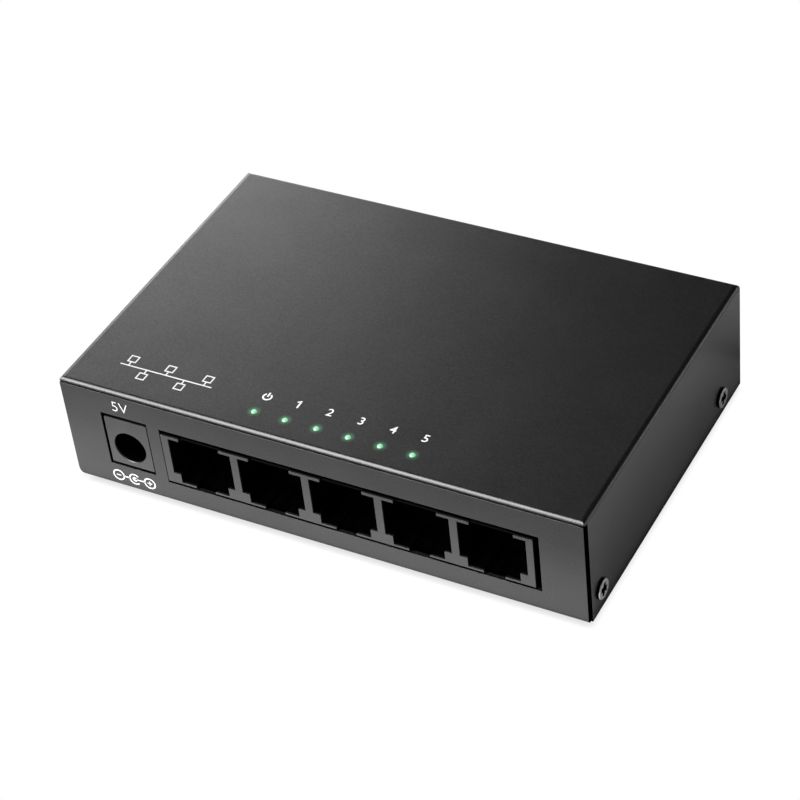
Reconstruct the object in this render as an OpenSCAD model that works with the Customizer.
// Five-port desktop Ethernet switch in a folded sheet-steel case.
// Parts are drawn in the case frame: x from the left side, y from the front panel back,
// z up from the underside of the case. place() then moves that corner so that the origin
// is the middle of the footprint on the desk, with the rubber feet standing on z = 0.

/* [Case] */
// Width of the case over its sides
case_w = 99.6; // [99:0.1:100.5]
// Depth of the case, front panel to rear panel
case_d = 65.5; // [65.5:0.5:80]
// Height of the case without its feet
case_h = 22.5; // [22.5:0.5:26]
// Thickness of the steel sheet
sheet = 0.8; // [0.7:0.05:0.8]
// Outside radius of the bends between the cover's top and its sides
cover_bend = 1.05; // [0.85:0.05:1.2]
// Outside radius of the rolled front and rear edges of the cover
cover_roll = 0.8; // [0.7:0.05:0.9]
// Outside radius of the tray's front and rear bends
tray_bend = 1; // [1:0.1:1.4]
// Setback of the front panel from the case's right side
right_gap = 0.3; // [0.2:0.05:0.4]
// Height of a rubber foot below the case
foot_h = 1; // [0.8:0.1:2]

/* [Ports] */
// Distance between neighbouring port centres
port_pitch = 13.83; // [13.8:0.01:13.85]
// Centre of port 1 from the case's left side
port_1_x = 27.3; // [27.2:0.05:27.4]
// Width of the opening for the plug
port_w = 12.4; // [12.1:0.1:12.5]
// Height of the cavity for the plug's body
port_h = 7.4; // [7.3:0.05:7.45]

/* [Power inlet] */
// Centre of the power inlet from the case's left side
jack_x = 12.6; // [12.5:0.05:12.7]
// Bore for the barrel plug
jack_bore_d = 6.4; // [6.2:0.1:6.6]
// Diameter of the centre pin
jack_pin_d = 2.1; // [1.9:0.1:2.5]

/* [Lamps] */
// Distance between neighbouring status lamps
lamp_pitch = 6; // [5.8:0.1:6.2]
// Centre of the power lamp from the case's left side
lamp_1_x = 36.8; // [36:0.1:37.5]
// Distance of the lamp row behind the front panel
lamp_y = 4.6; // [4.4:0.1:5]
// Diameter of the holes for the lamps
lamp_hole_d = 1.2; // [1.15:0.05:1.6]

/* [Hidden] */
$fn = 48;
eps = 0.01;
slack = 0.02;
edge_break = 0.05;

// Case
cover_lift = 0.05;
side_play = 0.1;
seam = 0.15;
plate_x0 = sheet + side_play;
panel_x0 = 0.2;
panel_x1 = case_w - right_gap;
panel_top = case_h - sheet - seam;
tray_inner = tray_bend - sheet + edge_break;
flap_y0 = sheet + 0.05;
side_corner = 0.15;
top_corner = 0.7;
panel_corner = 0.3;
panel_left_corner = 2;

// Cover screws, M3 with a low head, through the sides into the tray's ears
screw_spots = [[4.5, 4.4], [56.3, 4]];
screw_r = 1.45;
screw_hole_r = 1.7;
screw_len = 4;
head_r = 1.9;
head_h = 0.55;
head_round = 0.2;
cross_w = 1;
cross_l = 2.4;
cross_deep = 0.9;
ear_half = 3.1;
ear_top = 8.4;
thread_r = 1.5;
collar_r = 2.3;
collar_len = 1;

// Feet
foot_r = 4;
foot_round = 0.3;
foot_inset = 9;

// Circuit board and its fixings
pcb_z0 = 3.4;
pcb_t = 1.6;
pcb_top = pcb_z0 + pcb_t;
pcb_x0 = 4.7;
pcb_x1 = 94.7;
pcb_y0 = 1.4;
pcb_y1 = 53;
post_xs = [8.2, 91.2];
post_ys = [19.2, 48];
post_r = 2.75;
post_stub_r = 2.1;
pcb_hole_r = 1.6;
pan_r = 2.5;
pan_h = 1.5;
pcb_screw_len = 4;

// Port block: front face, cavity and the channel for the plug's latch
ports = 5;
block_x0 = 19.7;
block_x1 = port_1_x + (ports - 1) * port_pitch + port_w / 2 + 1.25;
block_d = 16.6;
block_z0 = pcb_top + 0.1;
block_z1 = 15.6;
cavity_z0 = 7.3;
cavity_z1 = cavity_z0 + port_h;
cavity_d = 12.6;
mouth_high = 0.37;
mouth_d = 0.8;
latch_w = 9.6;
latch_z0 = 5.45;
latch_slot_w = 3.9;
latch_slot_d = 7;
comb_w = 8;
comb_h = 0.48;
notch_d = 0.6;
wall_back = 13.4;
peg_r = 0.75;
peg_y = 9;

// Contact springs: a fold at the front, and an arm that slopes down to the rear
wires = 8;
wire_pitch = 1.02;
wire_w = 0.45;
wire_t = 0.25;
fold_r = 0.4;
fold_y = 2.6;
fold_z = cavity_z1 - 0.1;
fold_gap = 0.03;
arm_slope = 24;
arm_len = 7.9;
run_z = fold_z + fold_r;
tail_ys = [14.1, 15.4];
tail_z = 2.2;

// Opening in the front panel for the port block
block_cut = [19.55, 91.2, 4.6, 16.7];

// Power inlet
jack_w = 8.6;
jack_z0 = 6;
jack_z1 = 16.3;
jack_d = 13.8;
jack_z = 10.2;
jack_bore_deep = 9.6;
jack_edge = 0.1;
jack_cut = [7.75, 17.1, 5.35, 17.05];
jack_foot_z = pcb_top + slack;
pin_front = 2.9;
pin_nose = 0.5;
stem_r = 0.8;
stem_back = jack_d + 0.7;
leaf_turn = 50;
leaf_w = 1.6;
leaf_t = 0.3;
leaf_r = 3.35;
leaf_y0 = 0.6;
leaf_y1 = 8.6;
leaf_slot_w = 1.9;
leaf_slot_r = 4.25;
leaf_bump_r = 1;
leaf_bump_y = 1.9;
leaf_root_y = 10.2;
blade_w = 2.4;
blade_t = 0.4;

// Light pipe
lamps = 6;
pipe_w = 1;
pipe_h = 1.2;
pipe_z = block_z1 + 0.6;
pipe_tip_r = 0.52;
pipe_dome = 0.22;
pipe_tip_z = case_h - 1.9;
pipe_back = 17.6;
led_w = 0.8;
led_l = 1.6;
led_h = 0.7;

// Parts on the board
chip_x = 55.7;
chip_y = 41;
chip_w = 14;
chip_h = 1.4;
chip_side_leads = 16;
chip_lead_pitch = 0.8;
chip_lead_w = 0.35;
trafo_w = 12.2;
trafo_d = 7;
trafo_h = 5.2;
trafo_y = 25;
trafo_leads = 8;
trafo_lead_pitch = 1.27;
trafo_lead_w = 0.45;
crystal_x = 37.2;
crystal_y = 41;
crystal_l = 11;
crystal_w = 4.6;
crystal_h = 3.5;
coil_x = 11.7;
coil_y = 29;
coil_w = 6.2;
coil_h = 3;
reg_x = 23.7;
reg_y = 36;
reg_l = 4.9;
reg_w = 3.9;
reg_h = 1.5;
reg_side_leads = 4;
reg_lead_pitch = 1.27;
reg_lead_w = 0.4;
can_xs = [11.7, 20.2];
can_ys = [38.5, 45.5];
can_r = 3.15;
can_h = 5.4;
can_base_w = 6.6;
can_base_h = 0.5;
diode_x = 17.3;
diode_y = 19;
diode_l = 4.3;
diode_w = 2.6;
diode_h = 2.2;
supply_caps = [[18.3, 30.6], [29, 37]];

// Colours
steel_black = [0.16, 0.16, 0.17];
plastic_black = [0.12, 0.12, 0.12];
board_black = [0.07, 0.08, 0.08];
gold = [0.83, 0.66, 0.3];
tinned = [0.75, 0.75, 0.76];

function port_x(i) = port_1_x + i * port_pitch;
function wire_x(i, k) = port_x(i) + (k - (wires - 1) / 2) * wire_pitch;
function lamp_x(i) = lamp_1_x + i * lamp_pitch;

// Moves the case frame so that the origin is under the middle of the case, on the desk
module place() {
    translate([-case_w / 2, -case_d / 2, foot_h]) children();
}

// Extrudes a profile drawn in y and z along x
module along_x(x0, x1) {
    translate([x0, 0, 0]) rotate([90, 0, 90]) linear_extrude(x1 - x0) children();
}

// Extrudes a profile drawn in x and z along y
module along_y(y0, y1) {
    translate([0, y1, 0]) rotate([90, 0, 0]) linear_extrude(y1 - y0) children();
}

// A box given by its two opposite corners
module block(a, b) {
    translate(a) cube(b - a);
}

// A rectangle from a to b whose lower corners have radius low and upper corners radius high
module rounded_rect(a, b, low, high) {
    difference() {
        translate(a) square(b - a);
        for (side = [0, 1], end = [0, 1]) {
            r = end == 0 ? low : high;
            cx = side == 0 ? a[0] + r : b[0] - r;
            cy = end == 0 ? a[1] + r : b[1] - r;
            corner_nick([cx, cy], r, [side == 0 ? -1 : 0, end == 0 ? -1 : 0]);
        }
    }
}

// The sliver outside a corner arc of radius r about centre c, on the side that d picks
module corner_nick(c, r, d) {
    translate(c) difference() {
        translate(d * (r + eps)) square(r + eps);
        circle(r);
    }
}

// Copies for the left and the right side of the case
module both_sides() {
    children();
    translate([case_w, 0, 0]) mirror([1, 0, 0]) children();
}

// ---- Case -----------------------------------------------------------------

module tray_profile() {
    difference() {
        rounded_rect([0, 0], [case_d, panel_top], tray_bend, edge_break);
        translate([0, sheet]) rounded_rect([sheet, 0], [case_d - sheet, panel_top], tray_inner, edge_break);
    }
}

// The tray seen from the front: its front panel reaches over the cover's sides, and its lower
// left corner is large
module tray_outline() {
    difference() {
        rounded_rect([panel_x0, 0], [panel_x1, panel_top], panel_corner, edge_break);
        corner_nick([panel_x0 + panel_left_corner, panel_left_corner], panel_left_corner, [-1, -1]);
    }
}

module ear_profile() {
    difference() {
        rounded_rect([plate_x0, 0], [plate_x0 + 10, ear_top], tray_bend, edge_break);
        rounded_rect([plate_x0 + sheet, sheet], [plate_x0 + 12, ear_top + 2], tray_inner, edge_break);
    }
}

module tray_ear(y, z) {
    difference() {
        union() {
            intersection() {
                along_y(y - ear_half, y + ear_half) ear_profile();
                block([plate_x0, 0, 0], [plate_x0 + 2.4, case_d, ear_top]);
            }
            translate([plate_x0, y, z]) rotate([0, 90, 0]) cylinder(r = collar_r, h = sheet + collar_len);
        }
        translate([0, y, z]) rotate([0, 90, 0]) cylinder(r = thread_r, h = 6);
    }
}

module base_tray() {
    color(steel_black) difference() {
        union() {
            intersection() {
                union() {
                    along_x(plate_x0, case_w - plate_x0) tray_profile();
                    along_x(panel_x0, panel_x1) intersection() {
                        tray_profile();
                        translate([-1, -1]) square([sheet + 1, case_h]);
                    }
                }
                along_y(-1, case_d + 1) tray_outline();
            }
            both_sides() for (spot = screw_spots) tray_ear(spot[0], spot[1]);
        }
        block([block_cut[0], -1, block_cut[2]], [block_cut[1], sheet + 1, block_cut[3]]);
        block([jack_cut[0], -1, jack_cut[2]], [jack_cut[1], sheet + 1, jack_cut[3]]);
        for (x = post_xs, y = post_ys) {
            translate([x, y, -1]) cylinder(r = post_stub_r + slack, h = sheet + 2);
        }
    }
}

module cover_profile() {
    difference() {
        rounded_rect([0, cover_lift], [case_w, case_h], edge_break, cover_bend);
        rounded_rect([sheet, cover_lift - 1], [case_w - sheet, case_h - sheet], edge_break, cover_bend - sheet);
    }
}

// The cover seen from its side: the top runs over both panels, and the sides start behind the
// front panel and enclose the rear one
module cover_outline() {
    difference() {
        union() {
            rounded_rect([flap_y0, cover_lift], [case_d, case_h - sheet / 2], side_corner, edge_break);
            translate([0, case_h - sheet]) square([case_d, sheet]);
        }
        corner_nick([cover_roll, case_h - cover_roll], cover_roll, [-1, 0]);
        corner_nick([case_d - cover_roll, case_h - cover_roll], cover_roll, [0, 0]);
    }
}

module top_cover() {
    color(steel_black) difference() {
        intersection() {
            along_y(-1, case_d + 1) cover_profile();
            along_x(-1, case_w + 1) cover_outline();
            linear_extrude(case_h + 1) rounded_rect([0, 0], [case_w, case_d], top_corner, edge_break);
        }
        for (i = [0:lamps - 1]) {
            translate([lamp_x(i), lamp_y, case_h - 2]) cylinder(d = lamp_hole_d, h = 3);
        }
        both_sides() for (spot = screw_spots) {
            translate([-1, spot[0], spot[1]]) rotate([0, 90, 0]) cylinder(r = screw_hole_r, h = 3);
        }
    }
}

// A screw with a low round head, a rolled edge and a cross recess, its seat on z = 0
module cross_screw(r, h, edge, shank) {
    difference() {
        union() {
            cylinder(r = r, h = h - edge);
            cylinder(r = r - edge, h = h);
            translate([0, 0, h - edge]) rotate_extrude() translate([r - edge, 0]) intersection() {
                circle(edge, $fn = 24);
                square(edge);
            }
            translate([0, 0, -shank]) cylinder(r = screw_r, h = shank + eps);
        }
        for (turn = [0, 90]) {
            rotate(turn) block([-cross_l / 2, -cross_w / 2, h - cross_deep], [cross_l / 2, cross_w / 2, h + 1]);
        }
    }
}

module cover_screws() {
    color(plastic_black) both_sides() for (spot = screw_spots) {
        translate([0, spot[0], spot[1]]) rotate([0, -90, 0]) rotate(22) {
            cross_screw(head_r, head_h, head_round, screw_len);
        }
    }
}

module rubber_feet() {
    color("dimgray") for (x = [foot_inset, case_w - foot_inset], y = [foot_inset, case_d - foot_inset]) {
        translate([x, y, -foot_h]) rotate_extrude() difference() {
            square([foot_r, foot_h]);
            corner_nick([foot_r - foot_round, foot_round], foot_round, [0, -1]);
        }
    }
}

// ---- Board and fixings ----------------------------------------------------

module at_posts() {
    for (x = post_xs, y = post_ys) translate([x, y, 0]) children();
}

module pcb_standoffs() {
    color(tinned) at_posts() difference() {
        union() {
            translate([0, 0, sheet]) cylinder(r = post_r, h = pcb_z0 - sheet);
            cylinder(r = post_stub_r, h = sheet + eps);
        }
        translate([0, 0, -1]) cylinder(r = thread_r, h = pcb_z0 + 2);
    }
}

module pcb_screws() {
    color(tinned) at_posts() translate([0, 0, pcb_top]) cross_screw(pan_r, pan_h, 0.5, pcb_screw_len);
}

module circuit_board() {
    color(board_black) difference() {
        block([pcb_x0, pcb_y0, pcb_z0], [pcb_x1, pcb_y1, pcb_top]);
        translate([0, 0, pcb_z0 - 1]) {
            at_posts() cylinder(r = pcb_hole_r, h = pcb_t + 2);
            for (i = [0:ports - 2]) {
                translate([port_x(i) + port_pitch / 2, peg_y, 0]) cylinder(r = peg_r + 0.1, h = pcb_t + 2);
            }
            for (i = [0:ports - 1], k = [0:wires - 1]) {
                translate([wire_x(i, k), tail_ys[k % 2], 0]) cylinder(r = 0.42, h = pcb_t + 2, $fn = 24);
            }
            for (p = blade_places()) {
                translate([p[0], p[1], 0]) cylinder(r = blade_w / 2 + 0.2, h = pcb_t + 2);
            }
        }
    }
}

// ---- Port block -----------------------------------------------------------

// The cavity for one plug, with its centre line on x = 0
module port_cavity() {
    half = port_w / 2;
    block([-half, -1, cavity_z0], [half, cavity_d, cavity_z1]);
    block([-half, -1, cavity_z1 - eps], [half, mouth_d, cavity_z1 + mouth_high]);
    block([-latch_w / 2, -1, latch_z0], [latch_w / 2, latch_slot_d, cavity_z0 + eps]);
    block([-latch_slot_w / 2, -1, block_z0 - 1], [latch_slot_w / 2, latch_slot_d, latch_z0 + eps]);
    block([-comb_w / 2, -1, cavity_z1 - eps], [comb_w / 2, notch_d, block_z1 + 1]);
    block([-comb_w / 2, 0, cavity_z1 - eps], [comb_w / 2, block_d - 0.8, cavity_z1 + comb_h]);
    block([-comb_w / 2 - 0.6, wall_back, block_z0 - 1], [comb_w / 2 + 0.6, block_d + 1, cavity_z1]);
}

module rj45_housing() {
    color(plastic_black) {
        difference() {
            block([block_x0, 0, block_z0], [block_x1, block_d, block_z1]);
            for (i = [0:ports - 1]) translate([port_x(i), 0, 0]) port_cavity();
        }
        for (i = [0:ports - 2]) {
            translate([port_x(i) + port_pitch / 2, peg_y, pcb_z0 - 0.6]) cylinder(r = peg_r, h = block_z0 - pcb_z0 + 0.7);
        }
    }
}

// The strip from the fold back along the ceiling, down behind the cavity and through the board
module fixed_lead_profile(tail_y) {
    half = wire_t / 2;
    translate([fold_y + fold_gap, run_z - half]) square([tail_y - fold_y - fold_gap + half, wire_t]);
    translate([tail_y - half, tail_z]) square([wire_t, run_z - tail_z]);
}

module rj45_fixed_leads() {
    color(gold) for (i = [0:ports - 1], k = [0:wires - 1]) {
        x = wire_x(i, k);
        along_x(x - wire_w / 2, x + wire_w / 2) fixed_lead_profile(tail_ys[k % 2]);
    }
}

// The fold about the hinge line, from its top over the front, and the sloping arm
module spring_profile() {
    half = wire_t / 2;
    translate([fold_y, fold_z]) {
        difference() {
            circle(fold_r + half);
            circle(fold_r - half);
            rotate(-arm_slope) square([2, 2]);
            rotate(-arm_slope) translate([0, -2]) square([2, 2]);
            square([2, 2]);
        }
        rotate(-arm_slope) translate([-eps, -fold_r - half]) square([arm_len, wire_t]);
    }
}

module port_springs(i) {
    color(gold) for (k = [0:wires - 1]) {
        x = wire_x(i, k);
        along_x(x - wire_w / 2, x + wire_w / 2) spring_profile();
    }
}

// ---- Power inlet ----------------------------------------------------------

// Where the three solder blades stand: the pin's, the switch contact's and the sleeve's
function pin_blade() = [jack_x, jack_d + 0.05 + blade_t / 2];
function switch_blade() = [jack_x - 0.2, 6.4];
function sleeve_blade() = [jack_x + (leaf_r + leaf_t / 2) * cos(leaf_turn), leaf_root_y];
function sleeve_blade_top() = jack_z + (leaf_r + leaf_t / 2) * sin(leaf_turn);
function blade_places() = [pin_blade(), switch_blade(), sleeve_blade()];

// A box drawn about the bore's axis, turned round to the side where the leaf spring sits
module at_leaf() {
    translate([jack_x, 0, jack_z]) rotate([0, -leaf_turn, 0]) children();
}

// A hole bored along y from y0 to y1 on the inlet's axis
module jack_hole(r, y0, y1) {
    translate([jack_x, y1, jack_z]) rotate([90, 0, 0]) cylinder(r = r, h = y1 - y0);
}

// A blade standing on the point p, from the solder side up to z
module blade(p, z, w = blade_w, t = blade_t) {
    block([p[0] - w / 2, p[1] - t / 2, tail_z], [p[0] + w / 2, p[1] + t / 2, z]);
}

module dc_jack_housing() {
    color(plastic_black) {
        difference() {
            along_y(0, jack_d) rounded_rect([jack_x - jack_w / 2, jack_z0], [jack_x + jack_w / 2, jack_z1], 0.2, 0.2);
            jack_hole(jack_bore_d / 2, -1, jack_bore_deep);
            jack_hole(stem_r + slack, 1, jack_d + 1);
            translate([jack_x, jack_edge, jack_z]) rotate([90, 0, 0]) {
                cylinder(r1 = jack_bore_d / 2, r2 = jack_bore_d / 2 + 2 * jack_edge, h = 2 * jack_edge);
            }
            at_leaf() block([0, leaf_y0 - 0.2, -leaf_slot_w / 2], [leaf_slot_r, leaf_root_y + 0.3, leaf_slot_w / 2]);
            blade(switch_blade(), jack_z0 + 0.8, blade_w + 0.1, blade_t + 0.1);
            blade(sleeve_blade(), sleeve_blade_top() + 0.8, blade_w + 0.1, blade_t + 0.1);
        }
        for (side = [-1, 1]) {
            x = jack_x + side * (jack_w / 2 - 0.4);
            block([x - 0.35, 3, jack_foot_z], [x + 0.35, jack_d - 0.8, jack_z0 + 0.5]);
        }
    }
}

module dc_jack_pin() {
    color(tinned) {
        jack_hole(jack_pin_d / 2, pin_front + pin_nose, jack_bore_deep);
        jack_hole(stem_r, jack_bore_deep - eps, stem_back);
        translate([jack_x, pin_front + pin_nose, jack_z]) rotate([90, 0, 0]) {
            cylinder(r1 = jack_pin_d / 2, r2 = jack_pin_d / 2 - 0.4, h = pin_nose);
        }
    }
}

// A leaf along the bore's wall, with a round bump that presses on the plug's sleeve
module leaf_profile() {
    difference() {
        union() {
            translate([leaf_r, leaf_y0]) square([leaf_t, leaf_y1 - leaf_y0]);
            translate([leaf_r + leaf_t / 2, leaf_bump_y]) circle(leaf_bump_r);
        }
        translate([leaf_r + leaf_t, leaf_y0 - 1]) square([3, leaf_y1 - leaf_y0 + 2]);
        translate([leaf_r + leaf_t / 2, leaf_bump_y]) circle(leaf_bump_r - leaf_t);
    }
    translate([leaf_r + leaf_t / 2, leaf_y1]) circle(leaf_t / 2);
}

module dc_jack_spring() {
    color(tinned) at_leaf() translate([0, 0, -leaf_w / 2]) linear_extrude(leaf_w) leaf_profile();
}

module dc_jack_terminals() {
    color(tinned) {
        difference() {
            blade(pin_blade(), jack_z + 1.3);
            jack_hole(stem_r + slack, jack_d - 1, jack_d + 2);
        }
        blade(switch_blade(), jack_z0 + 0.75);
        blade(sleeve_blade(), sleeve_blade_top());
        at_leaf() block([leaf_r, leaf_y1 + leaf_t / 2 + slack, -leaf_w / 2],
            [leaf_r + leaf_t, leaf_root_y + blade_t / 2, leaf_w / 2]);
    }
}

// ---- Light pipe -----------------------------------------------------------

// One arm: up behind the port block, forward over it, and up to its hole in the cover
module pipe_profile() {
    translate([pipe_back, pcb_top + led_h + 0.3]) square([pipe_h, pipe_z - pcb_top - led_h - 0.3 + eps]);
    polygon([
        [lamp_y + pipe_h / 2, pipe_z],
        [pipe_back + pipe_h, pipe_z],
        [pipe_back, pipe_z + pipe_h],
        [lamp_y - pipe_h / 2, pipe_z + pipe_h]
    ]);
    translate([lamp_y - pipe_h / 2, pipe_z + pipe_h - eps]) square([pipe_h, pipe_tip_z - pipe_z - pipe_h + 2 * eps]);
}

// A round tip whose chamfered end stands just above the cover
module pipe_tip_profile() {
    h = case_h - pipe_tip_z;
    polygon([
        [0, 0],
        [pipe_tip_r, 0],
        [pipe_tip_r, h],
        [pipe_tip_r * 0.62, h + pipe_dome],
        [0, h + pipe_dome]
    ]);
}

module light_pipe() {
    color([0.85, 0.92, 0.88]) {
        for (i = [0:lamps - 1]) {
            along_x(lamp_x(i) - pipe_w / 2, lamp_x(i) + pipe_w / 2) pipe_profile();
            translate([lamp_x(i), lamp_y, pipe_tip_z]) rotate_extrude($fn = 24) pipe_tip_profile();
        }
        block([lamp_x(0) - 2, 9, pipe_z], [lamp_x(lamps - 1) + 2, 12, pipe_z + 0.9]);
        for (x = [lamp_x(0) - 1.5, lamp_x(lamps - 1) + 1.5]) {
            translate([x, 10.5, block_z1]) cylinder(r = 0.9, h = pipe_z - block_z1 + eps, $fn = 24);
        }
    }
}

module status_leds() {
    color([0.9, 0.95, 0.85]) for (i = [0:lamps - 1]) {
        y = pipe_back + pipe_h / 2;
        block([lamp_x(i) - led_l / 2, y - led_w / 2, pcb_top], [lamp_x(i) + led_l / 2, y + led_w / 2, pcb_top + led_h]);
    }
}

// ---- Parts on the board ---------------------------------------------------

// A gull-wing lead: out of the body at mid height, down, and out flat on the board
module gull_lead(w, rise, reach) {
    t = 0.15;
    rotate([90, 0, 0]) translate([0, 0, -w / 2]) linear_extrude(w) polygon([
        [0, rise],
        [reach / 3 + t, rise],
        [reach / 3 + t + 0.1, t],
        [reach, t],
        [reach, 0],
        [reach / 3, 0],
        [reach / 3 - 0.1, rise - t],
        [0, rise - t]
    ]);
}

// A row of n leads along y, their bodies' side on x = 0
module lead_row(n, pitch, w, rise, reach) {
    for (k = [0:n - 1]) translate([0, (k - (n - 1) / 2) * pitch, 0]) gull_lead(w, rise, reach);
}

// A moulded package with chamfered upper edges, standing 0.1 mm above the board
module package(w, d, h, bevel) {
    translate([0, 0, 0.1]) {
        translate([-w / 2, -d / 2, 0]) cube([w, d, h - 0.1 - bevel]);
        along_y(-d / 2 + bevel, d / 2 - bevel) polygon([
            [-w / 2, h - 0.11 - bevel], [w / 2, h - 0.11 - bevel],
            [w / 2 - bevel, h - 0.1], [bevel - w / 2, h - 0.1]
        ]);
    }
}

module switch_chip() {
    color(plastic_black) translate([chip_x, chip_y, pcb_top]) difference() {
        package(chip_w, chip_w, chip_h, 0.2);
        translate([1.4 - chip_w / 2, 1.4 - chip_w / 2, chip_h - 0.08]) cylinder(r = 0.5, h = 1);
    }
}

module switch_chip_leads() {
    color(tinned) translate([chip_x, chip_y, pcb_top]) for (turn = [0:90:270]) {
        rotate(turn) translate([chip_w / 2 + eps, 0, 0]) {
            lead_row(chip_side_leads, chip_lead_pitch, chip_lead_w, chip_h / 2, 1);
        }
    }
}

module at_transformers() {
    for (i = [0:ports - 1]) translate([port_x(i), trafo_y, pcb_top]) children();
}

module transformers() {
    color(plastic_black) at_transformers() package(trafo_w, trafo_d, trafo_h, 0.3);
}

module transformer_leads() {
    color(tinned) at_transformers() for (turn = [90, 270]) {
        rotate(turn) translate([trafo_d / 2 + eps, 0, 0]) {
            lead_row(trafo_leads, trafo_lead_pitch, trafo_lead_w, 1.6, 1.3);
        }
    }
}

module crystal() {
    straight = crystal_l - crystal_w;
    color("silver") translate([crystal_x, crystal_y, pcb_top]) {
        translate([-6, -2.6, 0]) cube([12, 5.2, 0.6]);
        for (side = [-1, 1]) translate([side * straight / 2, 0, 0]) cylinder(d = crystal_w, h = crystal_h);
        translate([-straight / 2, -crystal_w / 2, 0]) cube([straight, crystal_w, crystal_h]);
    }
}

module power_inductor() {
    color("dimgray") translate([coil_x, coil_y, pcb_top]) difference() {
        package(coil_w, coil_w, coil_h, 0.4);
        translate([0, 0, coil_h - 0.3]) cylinder(r = 1.7, h = 1);
    }
}

module voltage_regulator() {
    color(plastic_black) translate([reg_x, reg_y, pcb_top]) package(reg_w, reg_l, reg_h, 0.2);
}

module regulator_leads() {
    color(tinned) translate([reg_x, reg_y, pcb_top]) for (turn = [0, 180]) {
        rotate(turn) translate([reg_w / 2 + eps, 0, 0]) lead_row(reg_side_leads, reg_lead_pitch, reg_lead_w, 0.8, 1);
    }
}

module at_cans() {
    for (i = [0, 1]) translate([can_xs[i], can_ys[i], pcb_top]) children();
}

module electrolytic_cans() {
    color("silver") at_cans() translate([0, 0, can_base_h + 0.02]) rotate_extrude() {
        difference() {
            square([can_r, can_h]);
            translate([can_r + 0.5, 0.9]) circle(0.7);
            translate([can_r - 0.3, can_h - 0.3]) square(1);
        }
        translate([can_r - 0.3, can_h - 0.3]) circle(0.3);
    }
}

module electrolytic_bases() {
    color(plastic_black) at_cans() linear_extrude(can_base_h) difference() {
        square(can_base_w, center = true);
        for (side = [-1, 1]) {
            translate([side * can_base_w / 2, can_base_w / 2]) rotate(45) square(1.4, center = true);
        }
    }
}

// A chip part: a body between two end caps, drawn as one solid
module chip_part(l, w, h) {
    translate([-l / 2, -w / 2, 0]) cube([l / 5, w, h]);
    translate([l / 2 - l / 5, -w / 2, 0]) cube([l / 5, w, h]);
    translate([-l / 2, -w / 2 + 0.03, 0.03]) cube([l, w - 0.06, h - 0.06]);
}

module ceramic_capacitors() {
    color([0.6, 0.5, 0.38]) translate([0, 0, pcb_top]) {
        for (i = [0:ports - 1]) translate([port_x(i) + 1, 32.3, 0]) chip_part(2, 1.25, 1.1);
        for (k = [0:2]) translate([44.9, 35.5 + 3.6 * k, 0]) rotate(90) chip_part(1.6, 0.8, 0.8);
        for (k = [0:2]) translate([66.7, 35.5 + 3.6 * k, 0]) rotate(90) chip_part(1.6, 0.8, 0.8);
        for (p = supply_caps) translate(p) rotate(90) chip_part(3.2, 1.6, 1.4);
    }
}

module chip_resistors() {
    color([0.15, 0.15, 0.18]) translate([0, 0, pcb_top]) {
        for (i = [0:lamps - 1]) translate([lamp_x(i) + 2.6, 18.4, 0]) rotate(90) chip_part(1.6, 0.8, 0.45);
        for (i = [0:ports - 1]) translate([port_x(i) - 2.4, 32.3, 0]) chip_part(1.6, 0.8, 0.45);
        for (k = [0:2]) translate([73.7 + 2.4 * k, 41, 0]) rotate(90) chip_part(1.6, 0.8, 0.45);
    }
}

module protection_diode() {
    color(plastic_black) translate([diode_x, diode_y, pcb_top]) {
        package(diode_l, diode_w, diode_h, 0.2);
        for (side = [-1, 1]) translate([side * (diode_l / 2 + 0.2) - 0.25, -0.7, 0]) cube([0.5, 1.4, 1]);
    }
}

// ---- Output ---------------------------------------------------------------

place() base_tray();
place() top_cover();
place() cover_screws();
place() rubber_feet();
place() pcb_standoffs();
place() pcb_screws();
place() circuit_board();
place() rj45_housing();
place() rj45_fixed_leads();
place() port_springs(0);  // port_1_springs
place() port_springs(1);  // port_2_springs
place() port_springs(2);  // port_3_springs
place() port_springs(3);  // port_4_springs
place() port_springs(4);  // port_5_springs
place() dc_jack_housing();
place() dc_jack_pin();
place() dc_jack_spring();
place() dc_jack_terminals();
place() light_pipe();
place() status_leds();
place() switch_chip();
place() switch_chip_leads();
place() transformers();
place() transformer_leads();
place() crystal();
place() power_inductor();
place() voltage_regulator();
place() regulator_leads();
place() electrolytic_cans();
place() electrolytic_bases();
place() ceramic_capacitors();
place() chip_resistors();
place() protection_diode();
